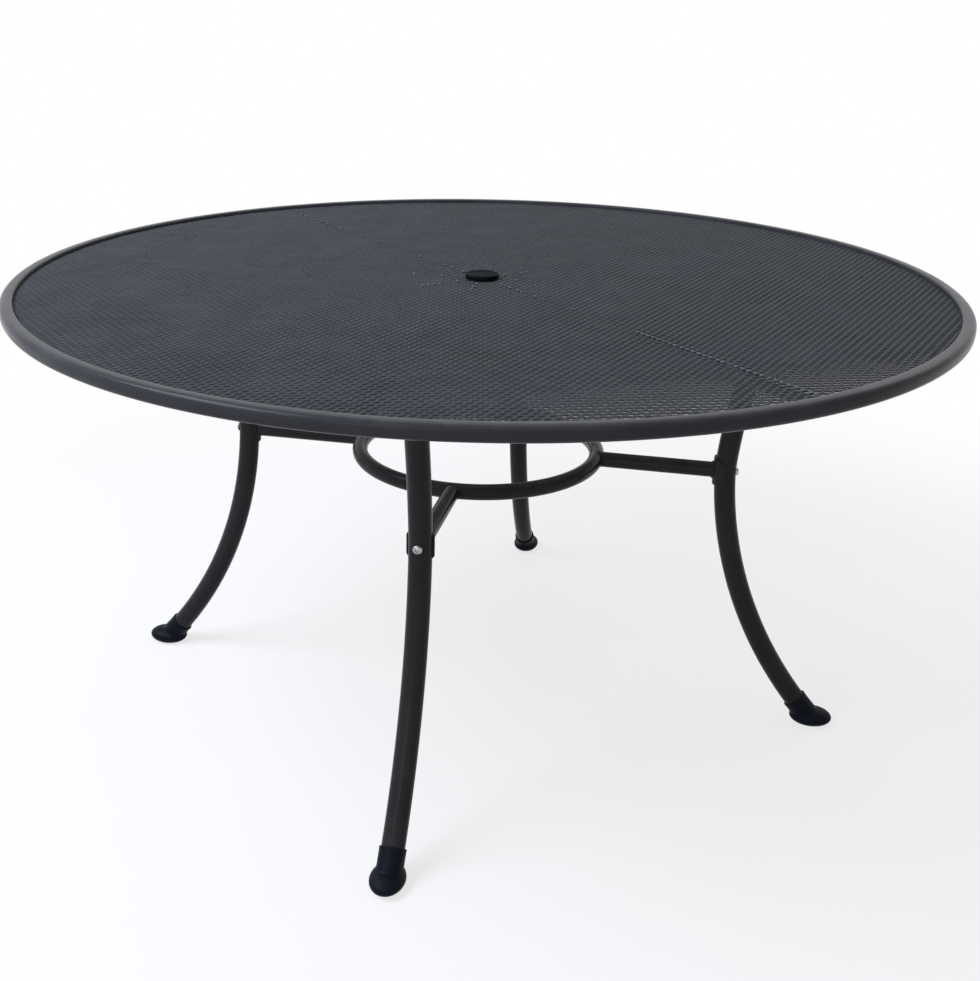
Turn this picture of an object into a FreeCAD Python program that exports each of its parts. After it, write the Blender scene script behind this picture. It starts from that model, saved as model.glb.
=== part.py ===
"""Round garden table with an expanded-metal top, four bent tube legs and a hole for an umbrella.

The origin is on the floor under the middle of the table. +Z is up, and the front leg is on -Y.
Sizes are millimetres and degrees.
"""

import FreeCAD, Part
import math
import os
import Sketcher
from FreeCAD import Placement, Rotation, Vector

os.makedirs("parts", exist_ok=True)

# Driving sizes. Each one has its own cell and can be changed by itself.
SIZES = {
    # Table top
    "top_radius": 738,
    "top_height": 732,
    "rim_width": 17,
    "rim_depth": 22,
    "rim_corner": 4,
    "mesh_drop": 5.5,
    "mesh_thickness": 3,
    "mesh_long_pitch": 168,
    "mesh_short_pitch": 84,
    "mesh_strand": 22,
    "mesh_border": 9,
    "mesh_smallest_gap": 900,
    "seam_gap": 0.8,
    "seam_turn": 45,
    "bar_count": 8,
    "bar_radius": 8,
    "bar_wall": 1.2,
    "support_tube_radius": 12.5,
    # Umbrella hub and its plug
    "hub_radius": 25,
    "hub_bore_radius": 23,
    "hub_socket_radius": 23.6,
    "hub_socket_depth": 22,
    "hub_length": 46,
    "plug_flange_radius": 26.5,
    "plug_flange_height": 7.5,
    "plug_chamfer": 1.5,
    "plug_skirt_length": 20,
    "plug_wall": 2.5,
    # Legs
    "leg_count": 4,
    "leg_radius": 17,
    "waist_radius": 405,
    "joint_height": 437,
    "bend_radius": 80,
    "bend_below": 2,
    "bend_above": 3.5,
    "lower_arc_radius": 661.5,
    "upper_arc_radius": 850,
    "leg_end_height": 20,
    # Ring, struts and saddles
    "ring_radius": 197,
    "ring_tube_radius": 12.5,
    "strut_radius": 12.5,
    "strut_wall": 1.5,
    "saddle_thickness": 3,
    "saddle_height": 45,
    "saddle_corner": 12,
    "saddle_outline_room": 0.5,
    # Fasteners
    "bolt_radius": 4,
    "bolt_length": 50,
    "bolt_head_radius": 7,
    "bolt_head_height": 4.4,
    "bolt_head_rounding": 3.6,
    "nut_across_corners": 15,
    "nut_height": 6.5,
    "bolt_hole_clearance": 0.3,
    "nut_thread_clearance": 0.05,
    # Boots
    "boot_wall": 2.2,
    "boot_top_height": 40,
    "boot_pad_width": 49,
    "boot_pad_length": 66,
    "boot_pad_height": 18,
    "boot_toe_depth": 5,
    "boot_top_bevel": 6,
    "boot_sole_bevel": 2,
    # Clearance where one fixed piece seats on another, and round the plug
    "seat_gap": 0.3,
    "plug_clearance": 0.4,
}

# Leg names in turning order from -Y, seen from above
LEG_NAMES = ("front", "right", "back", "left")
FIRST_LEG_TURN = -90.0

doc = FreeCAD.newDocument("umbrella_table")
sheet = doc.addObject("Spreadsheet::Sheet", "Sizes")
for row, (alias, size) in enumerate(SIZES.items(), start=1):
    sheet.set(f"A{row}", alias)
    sheet.set(f"B{row}", str(size))
    sheet.setAlias(f"B{row}", alias)
doc.recompute()

# Heights and radii that follow from the driving sizes
MESH_TOP = "(Sizes.top_height - Sizes.mesh_drop)"
MESH_UNDERSIDE = f"({MESH_TOP} - Sizes.mesh_thickness)"
RIM_INSIDE = "(Sizes.top_radius - Sizes.rim_width)"
BAR_HEIGHT = f"({MESH_UNDERSIDE} - Sizes.seat_gap - Sizes.bar_radius)"
SUPPORT_HEIGHT = f"({BAR_HEIGHT} - Sizes.bar_radius - Sizes.seat_gap - Sizes.support_tube_radius)"
HUB_UNDERSIDE = f"({MESH_TOP} - Sizes.hub_length)"
PLUG_SEAT = f"({MESH_TOP} + Sizes.seat_gap)"

# Distance from the middle of a leg at which a cutting shape is well clear of it
PAST_LEG = "(2 * Sizes.leg_radius)"

# The leg is three arcs that meet smoothly. Their centres lie outside the leg, in its own plane.
BEND_BELOW = "(Sizes.bend_below * 1 deg)"
BEND_ABOVE = "(Sizes.bend_above * 1 deg)"
BEND_X = "(Sizes.waist_radius + Sizes.bend_radius)"
BEND_Z = "Sizes.joint_height"
LOWER_SHIFT = "(Sizes.lower_arc_radius - Sizes.bend_radius)"
LOWER_X = f"({BEND_X} + {LOWER_SHIFT} * cos({BEND_BELOW}))"
LOWER_Z = f"({BEND_Z} + {LOWER_SHIFT} * sin({BEND_BELOW}))"
UPPER_SHIFT = "(Sizes.upper_arc_radius - Sizes.bend_radius)"
UPPER_X = f"({BEND_X} + {UPPER_SHIFT} * cos({BEND_ABOVE}))"
UPPER_Z = f"({BEND_Z} - {UPPER_SHIFT} * sin({BEND_ABOVE}))"


def lower_angle(height):
    """Angle of the lower arc, below the horizontal, where the leg's axis passes a height."""
    return f"asin(({LOWER_Z} - {height}) / Sizes.lower_arc_radius)"


def upper_angle(height):
    """Angle of the upper arc, above the horizontal, where the leg's axis passes a height."""
    return f"asin(({height} - {UPPER_Z}) / Sizes.upper_arc_radius)"


def lower_reach(height):
    """Distance of the lower arc from the table's axis at a height."""
    return f"({LOWER_X} - Sizes.lower_arc_radius * cos({lower_angle(height)}))"


SUPPORT_RADIUS = f"({UPPER_X} - Sizes.upper_arc_radius * cos({upper_angle(SUPPORT_HEIGHT)}))"


def number(expression):
    """Value of an expression on the sizes, as a plain number."""
    result = sheet.evalExpression(expression)
    return float(getattr(result, "Value", result))


def leg_turn(index):
    """Turn about Z that carries a piece from +X to one of the legs."""
    return FIRST_LEG_TURN + index * 360.0 / number("Sizes.leg_count")


def turned(degrees):
    return Placement(Vector(), Rotation(Vector(0, 0, 1), degrees))


def new_body(label):
    body = doc.addObject("PartDesign::Body", label + "_body")
    body.Label = label
    return body


def plane_of(body, role):
    return next(item for item in body.Origin.OriginFeatures if item.Role == role)


def new_sketch(body, role, name):
    sketch = body.newObject("Sketcher::SketchObject", name)
    sketch.AttachmentSupport = [(plane_of(body, role), "")]
    sketch.MapMode = "FlatFace"
    return sketch


def tie(sketch, kind, first, first_point, second, second_point, expression):
    """Add one distance constraint between two points and bind it to an expression."""
    size = number(expression)
    constraint = Sketcher.Constraint(kind, first, first_point, second, second_point, size)
    index = sketch.addConstraint(constraint)
    sketch.setExpression(f"Constraints[{index}]", expression)


def place_point(sketch, geometry, point, across, up):
    """Hold a point at a distance from the sketch's axes. None means that it lies on the axis."""
    if across is None:
        sketch.addConstraint(Sketcher.Constraint("PointOnObject", geometry, point, -2))
    else:
        tie(sketch, "DistanceX", -1, 1, geometry, point, across)
    if up is None:
        sketch.addConstraint(Sketcher.Constraint("PointOnObject", geometry, point, -1))
    else:
        tie(sketch, "DistanceY", -1, 1, geometry, point, up)


def add_circle(sketch, across, up, radius):
    centre = Vector(number(across) if across else 0, number(up) if up else 0, 0)
    index = sketch.addGeometry(Part.Circle(centre, Vector(0, 0, 1), number(radius)))
    constraint = sketch.addConstraint(Sketcher.Constraint("Radius", index, number(radius)))
    sketch.setExpression(f"Constraints[{constraint}]", radius)
    place_point(sketch, index, 3, across, up)


def add_ring(sketch, across, up, radius, wall):
    """Two circles with one centre: the section of a round tube."""
    add_circle(sketch, across, up, radius)
    add_circle(sketch, across, up, f"{radius} - {wall}")


def add_outline(sketch, points):
    """Closed outline of straight lines through points given as expressions."""
    places = [Vector(number(x) if x else 0, number(y) if y else 0, 0) for x, y in points]
    lines = []
    for start, end in zip(places, places[1:] + places[:1]):
        lines.append(sketch.addGeometry(Part.LineSegment(start, end)))
    for line, following in zip(lines, lines[1:] + lines[:1]):
        sketch.addConstraint(Sketcher.Constraint("Coincident", line, 2, following, 1))
    for line, (x, y) in zip(lines, points):
        place_point(sketch, line, 1, x, y)


def revolve(body, sketch, axis, angle=None):
    feature = body.newObject("PartDesign::Revolution", sketch.Name + "_turned")
    feature.Profile = sketch
    feature.ReferenceAxis = (sketch, [axis])
    feature.Angle = 360
    if angle:
        feature.setExpression("Angle", angle)
    return feature


def pad(body, sketch, length):
    feature = body.newObject("PartDesign::Pad", sketch.Name + "_pad")
    feature.Profile = sketch
    feature.setExpression("Length", length)
    return feature


def round_edges(body, base, radius, chosen, name):
    """Fillet the edges of the latest feature that a test picks."""
    doc.recompute()
    names = [f"Edge{i}" for i, edge in enumerate(base.Shape.Edges, start=1) if chosen(edge)]
    feature = body.newObject("PartDesign::Fillet", name)
    feature.Base = (base, names)
    feature.setExpression("Radius", radius)
    return feature


def bevel_edges(body, base, size, chosen, name):
    """Chamfer the edges of the latest feature that a test picks."""
    doc.recompute()
    names = [f"Edge{i}" for i, edge in enumerate(base.Shape.Edges, start=1) if chosen(edge)]
    feature = body.newObject("PartDesign::Chamfer", name)
    feature.Base = (base, names)
    feature.setExpression("Size", size)
    return feature


def cut(label, base, tool):
    result = doc.addObject("Part::Cut", label + "_cut")
    result.Base = base
    result.Tool = tool
    result.Label = label
    return result


def joined(name, shapes):
    result = doc.addObject("Part::MultiFuse", name)
    result.Shapes = shapes
    return result


def new_torus(name, radius, tube, height):
    torus = doc.addObject("Part::Torus", name)
    torus.setExpression("Radius1", radius)
    torus.setExpression("Radius2", tube)
    torus.setExpression("Placement.Base.z", height)
    return torus


def is_circle(edge, radius, height):
    curve = edge.Curve
    if not isinstance(curve, Part.Circle):
        return False
    return abs(curve.Radius - radius) < 1e-6 and abs(curve.Center.z - height) < 1e-6


# Rim, support ring, bars and hub

def make_rim():
    """Sealed tube round the top, modelled without its inside, with its four corners bevelled."""
    body = new_body("rim_tube")
    sketch = new_sketch(body, "XZ_Plane", "rim_section")
    underside = "(Sizes.top_height - Sizes.rim_depth)"
    corners = [(radius, underside) for radius in (RIM_INSIDE, "Sizes.top_radius")]
    corners += [(radius, "Sizes.top_height") for radius in ("Sizes.top_radius", RIM_INSIDE)]
    add_outline(sketch, corners)
    turned_rim = revolve(body, sketch, "V_Axis")
    places = [(number(radius), number(height)) for radius, height in corners]
    bevel_edges(
        body,
        turned_rim,
        "Sizes.rim_corner",
        lambda edge: any(is_circle(edge, *place) for place in places),
        "rim_corners",
    )
    return body


def make_tube_ring(label, radius, height, tube_radius):
    """Sealed tube bent into a ring, modelled without its inside."""
    body = new_body(label)
    sketch = new_sketch(body, "XZ_Plane", label + "_section")
    add_circle(sketch, radius, height, tube_radius)
    revolve(body, sketch, "V_Axis")
    return body


def make_straight_tube(label, start, end, height, radius, wall):
    """Tube along +X at a height, from one distance from the table's axis to another."""
    body = new_body(label)
    sketch = new_sketch(body, "YZ_Plane", label + "_section")
    sketch.setExpression("AttachmentOffset.Base.z", start)
    add_ring(sketch, None, height, radius, wall)
    pad(body, sketch, f"{end} - {start}")
    return body


def make_bar(index):
    """Tube from the hub to the rim under the mesh, its inner end cut round the hub."""
    label = f"top_bar_{index + 1}"
    end = f"({RIM_INSIDE} - Sizes.seat_gap)"
    start = "(Sizes.hub_radius - Sizes.bar_radius)"
    tube = make_straight_tube(label + "_tube", start, end, BAR_HEIGHT, "Sizes.bar_radius", "Sizes.bar_wall")
    hub_space = doc.addObject("Part::Cylinder", label + "_hub_space")
    hub_space.setExpression("Radius", "Sizes.hub_radius + Sizes.seat_gap")
    hub_space.setExpression("Height", "Sizes.top_height")
    bar = cut(label, tube, hub_space)
    bar.Placement = turned(FIRST_LEG_TURN + index * 360.0 / number("Sizes.bar_count"))
    return bar


def make_hub():
    """Collar for the umbrella pole, with a slightly wider socket for the plug at its top."""
    body = new_body("umbrella_hub")
    sketch = new_sketch(body, "XZ_Plane", "hub_section")
    shoulder = f"({MESH_TOP} - Sizes.hub_socket_depth)"
    add_outline(
        sketch,
        [
            ("Sizes.hub_bore_radius", HUB_UNDERSIDE),
            ("Sizes.hub_radius", HUB_UNDERSIDE),
            ("Sizes.hub_radius", MESH_TOP),
            ("Sizes.hub_socket_radius", MESH_TOP),
            ("Sizes.hub_socket_radius", shoulder),
            ("Sizes.hub_bore_radius", shoulder),
        ],
    )
    revolve(body, sketch, "V_Axis")
    return body


def make_plug():
    """Moulded cap: a flange over the hub and a hollow skirt inside it."""
    body = new_body("umbrella_plug")
    sketch = new_sketch(body, "XZ_Plane", "plug_section")
    top = f"({PLUG_SEAT} + Sizes.plug_flange_height)"
    skirt = "(Sizes.hub_socket_radius - Sizes.plug_clearance)"
    skirt_end = f"({PLUG_SEAT} - Sizes.plug_skirt_length)"
    ceiling = f"({top} - Sizes.plug_wall)"
    add_outline(
        sketch,
        [
            (None, ceiling),
            (f"{skirt} - Sizes.plug_wall", ceiling),
            (f"{skirt} - Sizes.plug_wall", skirt_end),
            (skirt, skirt_end),
            (skirt, PLUG_SEAT),
            ("Sizes.plug_flange_radius", PLUG_SEAT),
            ("Sizes.plug_flange_radius", top),
            (None, top),
        ],
    )
    turned_plug = revolve(body, sketch, "V_Axis")
    bevel_edges(
        body,
        turned_plug,
        "Sizes.plug_chamfer",
        lambda edge: is_circle(edge, number("Sizes.plug_flange_radius"), number(top)),
        "plug_edge",
    )
    return body


# Expanded-metal sheets

def half_disc(radius, hub_radius, edge, side):
    """Face on one side of the local X axis, at least a given distance from it."""
    disc = Part.Face(Part.Wire(Part.makeCircle(radius)))
    hub = Part.Face(Part.Wire(Part.makeCircle(hub_radius)))
    low = edge if side > 0 else -2 * radius
    strip = Part.makePlane(4 * radius, 2 * radius - edge, Vector(-2 * radius, low, 0))
    return disc.common(strip).cut(hub).Faces[0]


def diamond(centre, along, across):
    corners = [centre + along, centre + across, centre - along, centre - across]
    return Part.Face(Part.makePolygon(corners + corners[:1]))


def mesh_gaps(field, long_axis, short_axis):
    """Gaps between the strands, clipped to a field, with alternate rows half a pitch along."""
    long_pitch = number("Sizes.mesh_long_pitch")
    short_pitch = number("Sizes.mesh_short_pitch")
    slope = math.atan2(short_pitch, long_pitch)
    half_strand = number("Sizes.mesh_strand") / 2
    along = long_axis * (long_pitch / 2 - half_strand / math.sin(slope))
    across = short_axis * (short_pitch / 2 - half_strand / math.cos(slope))
    smallest = number("Sizes.mesh_smallest_gap")
    reach = number("Sizes.top_radius")
    rows = math.ceil(2 * reach / short_pitch)
    columns = math.ceil(reach / long_pitch) + 1
    gaps = []
    for row in range(-rows, rows + 1):
        for column in range(-columns, columns + 1):
            step = long_axis * (long_pitch * (column + row % 2 / 2))
            centre = step + short_axis * (short_pitch * row / 2)
            clipped = field.common(diamond(centre, along, across))
            gaps += [face.OuterWire for face in clipped.Faces if face.Area > smallest]
    return gaps


def make_sheet(label, side, long_axis, short_axis):
    """Half of the mesh top as one holed face with its thickness."""
    radius = number(f"{RIM_INSIDE} - Sizes.seat_gap")
    hub = number("Sizes.hub_radius + Sizes.seat_gap")
    border = number("Sizes.mesh_border")
    edge = number("Sizes.seam_gap / 2")
    outline = half_disc(radius, hub, edge, side)
    field = half_disc(radius - border, hub + border, edge + border, side)
    wires = [outline.OuterWire] + mesh_gaps(field, long_axis, short_axis)
    face = Part.makeFace(wires, "Part::FaceMakerBullseye")
    sheet_piece = doc.addObject("Part::Feature", label + "_sheet")
    sheet_piece.Shape = face.extrude(Vector(0, 0, number("Sizes.mesh_thickness")))
    sheet_piece.Label = label
    turn = Rotation(Vector(0, 0, 1), -number("Sizes.seam_turn"))
    sheet_piece.Placement = Placement(Vector(0, 0, number(MESH_UNDERSIDE)), turn)
    return sheet_piece


# Bent tubes of the legs and of what follows them

def add_arc(body, name, centre, radius, start, sweep, rise, tube_radius, bore):
    """One stretch of bent tube: its section, turned about the centre of the bend.

    The section starts at an angle below the horizontal, or above it where rise is true.
    """
    sketch = new_sketch(body, "XY_Plane", name)
    side = 1 if rise else -1
    sketch.AttachmentOffset = Placement(Vector(), Rotation(Vector(0, side, 0), 1))
    sketch.setExpression("AttachmentOffset.Base.x", centre[0])
    sketch.setExpression("AttachmentOffset.Base.z", centre[1])
    sketch.setExpression("AttachmentOffset.Rotation.Angle", start)
    for size in filter(None, (tube_radius, bore)):
        place = Vector(-number(radius), 0, 0)
        index = sketch.addGeometry(Part.Circle(place, Vector(0, 0, 1), number(size)))
        constraint = sketch.addConstraint(Sketcher.Constraint("Radius", index, number(size)))
        sketch.setExpression(f"Constraints[{constraint}]", size)
        sketch.addConstraint(Sketcher.Constraint("PointOnObject", index, 3, -1))
        tie(sketch, "DistanceX", index, 3, -1, 1, radius)
    return revolve(body, sketch, "V_Axis", sweep)


def add_lower_arc(body, name, low, high, tube_radius, bore=None):
    """Stretch of the lower arc between two heights of its axis."""
    start = lower_angle(low)
    sweep = f"{start} - {lower_angle(high)}"
    centre = (LOWER_X, LOWER_Z)
    add_arc(body, name, centre, "Sizes.lower_arc_radius", start, sweep, False, tube_radius, bore)


def make_bent_tube(label, low, high, tube_radius, bore=None):
    """Tube on the leg's axis between two heights, through the bend at the joint."""
    body = new_body(label)
    start = lower_angle(low)
    lower = (LOWER_X, LOWER_Z)
    sweep = f"{start} - {BEND_BELOW}"
    add_arc(body, label + "_low", lower, "Sizes.lower_arc_radius", start, sweep, False, tube_radius, bore)
    bend = (BEND_X, BEND_Z)
    sweep = f"{BEND_BELOW} + {BEND_ABOVE}"
    add_arc(body, label + "_bend", bend, "Sizes.bend_radius", BEND_BELOW, sweep, False, tube_radius, bore)
    upper = (UPPER_X, UPPER_Z)
    sweep = f"{upper_angle(high)} - {BEND_ABOVE}"
    add_arc(body, label + "_top", upper, "Sizes.upper_arc_radius", BEND_ABOVE, sweep, True, tube_radius, bore)
    return body


def make_bolt_space(label):
    """Hole for the joint's bolt, along +X through the leg and the saddle."""
    space = doc.addObject("Part::Cylinder", label + "_bolt_space")
    space.setExpression("Radius", "Sizes.bolt_radius + Sizes.bolt_hole_clearance")
    space.setExpression("Height", f"2 * {PAST_LEG}")
    space.Placement = Placement(Vector(), Rotation(Vector(0, 1, 0), 90))
    space.setExpression("Placement.Base.x", f"Sizes.waist_radius - {PAST_LEG}")
    space.setExpression("Placement.Base.z", "Sizes.joint_height")
    return space


def make_leg(index):
    """Sealed bent tube with a bolt hole, notched at its top for the support ring."""
    label = "leg_" + LEG_NAMES[index]
    high = f"({SUPPORT_HEIGHT} + Sizes.leg_radius)"
    tube = make_bent_tube(label + "_tube", "Sizes.leg_end_height", high, "Sizes.leg_radius")
    notch_tube = "Sizes.support_tube_radius + Sizes.seat_gap"
    notch = new_torus(label + "_notch", SUPPORT_RADIUS, notch_tube, SUPPORT_HEIGHT)
    above = doc.addObject("Part::Cylinder", label + "_above")
    above.setExpression("Radius", "Sizes.top_radius")
    above.setExpression("Height", "Sizes.top_height")
    above.setExpression("Placement.Base.z", SUPPORT_HEIGHT)
    tools = joined(label + "_tools", [notch, above, make_bolt_space(label)])
    leg = cut(label, tube, tools)
    leg.Placement = turned(leg_turn(index))
    return leg


def make_saddle_outline(label):
    """Rounded prism along X that gives the saddle its outline and keeps its inner half."""
    body = new_body(label + "_outline")
    sketch = new_sketch(body, "YZ_Plane", label + "_outline_sketch")
    sketch.setExpression("AttachmentOffset.Base.z", f"Sizes.waist_radius - {PAST_LEG}")
    side = "Sizes.leg_radius + Sizes.seat_gap + Sizes.saddle_thickness + Sizes.saddle_outline_room"
    reach = number(side)
    half = number("Sizes.saddle_height / 2")
    middle = number("Sizes.joint_height")
    corners = [Vector(-reach, middle - half), Vector(reach, middle - half)]
    corners += [Vector(reach, middle + half), Vector(-reach, middle + half)]
    lines = []
    for start, end in zip(corners, corners[1:] + corners[:1]):
        lines.append(sketch.addGeometry(Part.LineSegment(start, end)))
    for line, following in zip(lines, lines[1:] + lines[:1]):
        sketch.addConstraint(Sketcher.Constraint("Coincident", line, 2, following, 1))
    for line in (lines[0], lines[2]):
        sketch.addConstraint(Sketcher.Constraint("Horizontal", line))
    for line in (lines[1], lines[3]):
        sketch.addConstraint(Sketcher.Constraint("Vertical", line))
    tie(sketch, "DistanceX", -1, 1, lines[0], 2, side)
    tie(sketch, "DistanceX", lines[0], 1, -1, 1, side)
    tie(sketch, "DistanceY", -1, 1, lines[0], 1, "Sizes.joint_height - Sizes.saddle_height / 2")
    tie(sketch, "DistanceY", -1, 1, lines[2], 1, "Sizes.joint_height + Sizes.saddle_height / 2")
    block = pad(body, sketch, PAST_LEG)
    round_edges(
        body,
        block,
        "Sizes.saddle_corner",
        lambda edge: abs(edge.BoundBox.XLength - edge.Length) < 1e-6,
        label + "_outline_corners",
    )
    return body


def make_saddle(index):
    """Curved plate that wraps the inner half of the leg, with its corners rounded."""
    label = "saddle_" + LEG_NAMES[index]
    low = "(Sizes.joint_height - Sizes.saddle_height)"
    high = "(Sizes.joint_height + Sizes.saddle_height)"
    inner = "Sizes.leg_radius + Sizes.seat_gap"
    shell = make_bent_tube(label + "_shell", low, high, f"{inner} + Sizes.saddle_thickness", inner)
    outline = make_saddle_outline(label)
    plate = doc.addObject("Part::MultiCommon", label + "_plate")
    plate.Shapes = [shell, outline]
    saddle = cut(label, plate, make_bolt_space(label))
    saddle.Placement = turned(leg_turn(index))
    return saddle


def make_strut(index):
    """Level tube from the ring to the saddle, both ends cut to fit."""
    label = "strut_" + LEG_NAMES[index]
    tube = make_straight_tube(
        label + "_tube",
        "Sizes.ring_radius",
        "Sizes.waist_radius",
        "Sizes.joint_height",
        "Sizes.strut_radius",
        "Sizes.strut_wall",
    )
    ring_tube = "Sizes.ring_tube_radius + Sizes.seat_gap"
    ring_space = new_torus(label + "_ring_space", "Sizes.ring_radius", ring_tube, "Sizes.joint_height")
    low = "(Sizes.joint_height - Sizes.saddle_height)"
    high = "(Sizes.joint_height + Sizes.saddle_height)"
    outside = "Sizes.leg_radius + Sizes.saddle_thickness + 2 * Sizes.seat_gap"
    saddle_space = make_bent_tube(label + "_saddle_space", low, high, outside)
    strut = cut(label, tube, joined(label + "_tools", [ring_space, saddle_space]))
    strut.Placement = turned(leg_turn(index))
    return strut


# Boots

def add_slot(sketch, middle, length, width):
    """Outline with two round ends on the sketch's X axis."""
    radius = f"({width} / 2)"
    reach = f"(({length} - {width}) / 2)"
    near = number(middle) - number(reach)
    far = number(middle) + number(reach)
    size = number(radius)
    up = Vector(0, 0, 1)
    right = Part.ArcOfCircle(Part.Circle(Vector(far, 0, 0), up, size), -math.pi / 2, math.pi / 2)
    left = Part.ArcOfCircle(Part.Circle(Vector(near, 0, 0), up, size), math.pi / 2, 3 * math.pi / 2)
    top = Part.LineSegment(Vector(far, size, 0), Vector(near, size, 0))
    bottom = Part.LineSegment(Vector(near, -size, 0), Vector(far, -size, 0))
    loop = [sketch.addGeometry(piece) for piece in (right, top, left, bottom)]
    for piece, following in zip(loop, loop[1:] + loop[:1]):
        sketch.addConstraint(Sketcher.Constraint("Tangent", piece, 2, following, 1))
    sketch.addConstraint(Sketcher.Constraint("Equal", loop[0], loop[2]))
    constraint = sketch.addConstraint(Sketcher.Constraint("Radius", loop[0], size))
    sketch.setExpression(f"Constraints[{constraint}]", radius)
    place_point(sketch, loop[0], 3, f"{middle} + {reach}", None)
    place_point(sketch, loop[2], 3, f"{middle} - {reach}", None)


def lies_flat_at(edge, height):
    box = edge.BoundBox
    return abs(box.ZMin - height) < 1e-6 and abs(box.ZMax - height) < 1e-6


def make_boot_pad(label):
    """Pad with round ends that stands on the floor under the end of the leg."""
    body = new_body(label + "_pad")
    sketch = new_sketch(body, "XY_Plane", label + "_pad_sketch")
    middle = lower_reach("Sizes.boot_pad_height / 2")
    add_slot(sketch, middle, "Sizes.boot_pad_length", "Sizes.boot_pad_width")
    block = pad(body, sketch, "Sizes.boot_pad_height")
    height = number("Sizes.boot_pad_height")
    top = bevel_edges(
        body, block, "Sizes.boot_top_bevel", lambda edge: lies_flat_at(edge, height), label + "_top_edge"
    )
    bevel_edges(body, top, "Sizes.boot_sole_bevel", lambda edge: lies_flat_at(edge, 0), label + "_sole_edge")
    return body


def make_boot(index):
    """Moulded boot: a sleeve that follows the tube down into the pad, with the tube's end inside."""
    label = "boot_" + LEG_NAMES[index]
    outside = "(Sizes.leg_radius + Sizes.seat_gap + Sizes.boot_wall)"
    sleeve = new_body(label + "_sleeve")
    add_lower_arc(sleeve, label + "_sleeve_arc", "Sizes.boot_toe_depth", "Sizes.boot_top_height", outside)
    solid = joined(label + "_solid", [make_boot_pad(label), sleeve])
    bore = new_body(label + "_bore")
    bore_end = "(Sizes.leg_end_height - Sizes.seat_gap)"
    past = "(Sizes.boot_top_height + Sizes.leg_radius)"
    add_lower_arc(bore, label + "_bore_arc", bore_end, past, "Sizes.leg_radius + Sizes.seat_gap")
    floor = doc.addObject("Part::Cylinder", label + "_floor")
    floor.setExpression("Radius", "Sizes.top_radius")
    floor.setExpression("Height", "Sizes.boot_top_height")
    floor.setExpression("Placement.Base.z", "-Sizes.boot_top_height")
    boot = cut(label, solid, joined(label + "_spaces", [bore, floor]))
    boot.Placement = turned(leg_turn(index))
    return boot


# Fasteners

def make_bolt(index):
    """Dome-headed bolt, modelled upright with the underside of its head on the origin."""
    label = "bolt_" + LEG_NAMES[index]
    body = new_body(label)
    head = new_sketch(body, "XY_Plane", label + "_head")
    add_circle(head, None, None, "Sizes.bolt_head_radius")
    head_pad = pad(body, head, "Sizes.bolt_head_height")
    height = number("Sizes.bolt_head_height")
    dome = round_edges(
        body, head_pad, "Sizes.bolt_head_rounding", lambda edge: lies_flat_at(edge, height), label + "_dome"
    )
    doc.recompute()
    shank = new_sketch(body, "XY_Plane", label + "_shank")
    add_circle(shank, None, None, "Sizes.bolt_radius")
    shank_pad = pad(body, shank, "Sizes.bolt_length")
    shank_pad.Reversed = True
    seat = Vector(number("Sizes.waist_radius + Sizes.leg_radius + Sizes.seat_gap"), 0, 0)
    seat.z = number("Sizes.joint_height")
    outwards = Placement(seat, Rotation(Vector(0, 1, 0), 90))
    body.Placement = turned(leg_turn(index)).multiply(outwards)
    return body


def make_nut(index):
    """Hexagon nut on the inside of the saddle, within the end of the strut."""
    label = "nut_" + LEG_NAMES[index]
    hexagon = doc.addObject("Part::Prism", label + "_hexagon")
    hexagon.Polygon = 6
    hexagon.setExpression("Circumradius", "Sizes.nut_across_corners / 2")
    hexagon.setExpression("Height", "Sizes.nut_height")
    bore = doc.addObject("Part::Cylinder", label + "_bore")
    bore.setExpression("Radius", "Sizes.bolt_radius + Sizes.nut_thread_clearance")
    bore.setExpression("Height", "Sizes.nut_height")
    nut = cut(label, hexagon, bore)
    face = "Sizes.waist_radius - Sizes.leg_radius - Sizes.saddle_thickness - 2 * Sizes.seat_gap"
    seat = Vector(number(f"{face} - Sizes.nut_height"), 0, number("Sizes.joint_height"))
    inwards = Placement(seat, Rotation(Vector(0, 1, 0), 90))
    nut.Placement = turned(leg_turn(index)).multiply(inwards)
    return nut


def grouped(label, pieces):
    group = doc.addObject("Part::Compound", label + "_group")
    group.Links = pieces
    group.Label = label
    return group


def build_model():
    """Make every sub-part and return those that are written out."""
    along_seam = Vector(1, 0, 0)
    across_seam = Vector(0, 1, 0)
    legs = range(round(number("Sizes.leg_count")))
    bars = range(round(number("Sizes.bar_count")))
    nodes = [make_rim()]
    nodes.append(make_sheet("mesh_front_left", -1, across_seam, along_seam))
    nodes.append(make_sheet("mesh_back_right", 1, across_seam, along_seam))
    nodes += [make_bar(index) for index in bars]
    nodes.append(make_tube_ring("support_ring", SUPPORT_RADIUS, SUPPORT_HEIGHT, "Sizes.support_tube_radius"))
    nodes.append(make_hub())
    nodes.append(make_plug())
    nodes += [make_leg(index) for index in legs]
    ring_sizes = ("Sizes.ring_radius", "Sizes.joint_height", "Sizes.ring_tube_radius")
    nodes.append(make_tube_ring("leg_ring", *ring_sizes))
    nodes += [make_strut(index) for index in legs]
    nodes.append(grouped("saddles", [make_saddle(index) for index in legs]))
    nodes.append(grouped("boots", [make_boot(index) for index in legs]))
    nodes.append(grouped("leg_bolts", [make_bolt(index) for index in legs]))
    nodes.append(grouped("leg_nuts", [make_nut(index) for index in legs]))
    return nodes


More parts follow.
